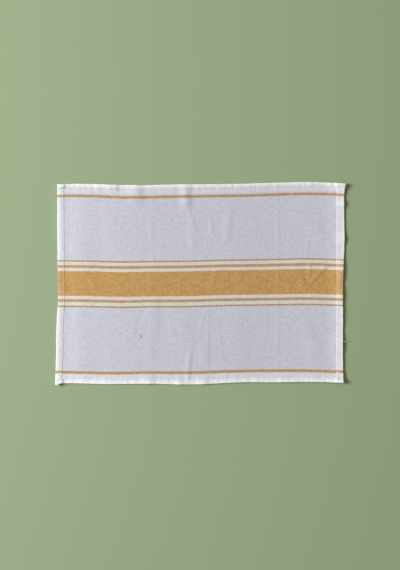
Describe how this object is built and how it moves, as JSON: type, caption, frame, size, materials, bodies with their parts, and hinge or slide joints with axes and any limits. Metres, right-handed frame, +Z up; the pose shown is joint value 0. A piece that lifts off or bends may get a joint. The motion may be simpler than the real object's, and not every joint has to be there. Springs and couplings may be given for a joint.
{
  "type": "tea towel",
  "caption": "Flat woven cotton tea towel, white with an ochre band and narrow stripes along its length, hemmed on all edges, laid open with soft fold creases.",
  "frame": {"origin": "on the surface that the towel lies on, under the middle of its box", "axes": "+X along the towel's length, along its stripes; +Y across its width; +Z up from the surface"},
  "size_m": [0.6562, 0.4592, 0.0098],
  "materials": {
    "woven_cotton": "matt plain-weave cotton, white ground with ochre warp stripes"
  },
  "bodies": {
    "root": {"towel_cloth": "woven_cotton"}
  },
  "joints": []
}
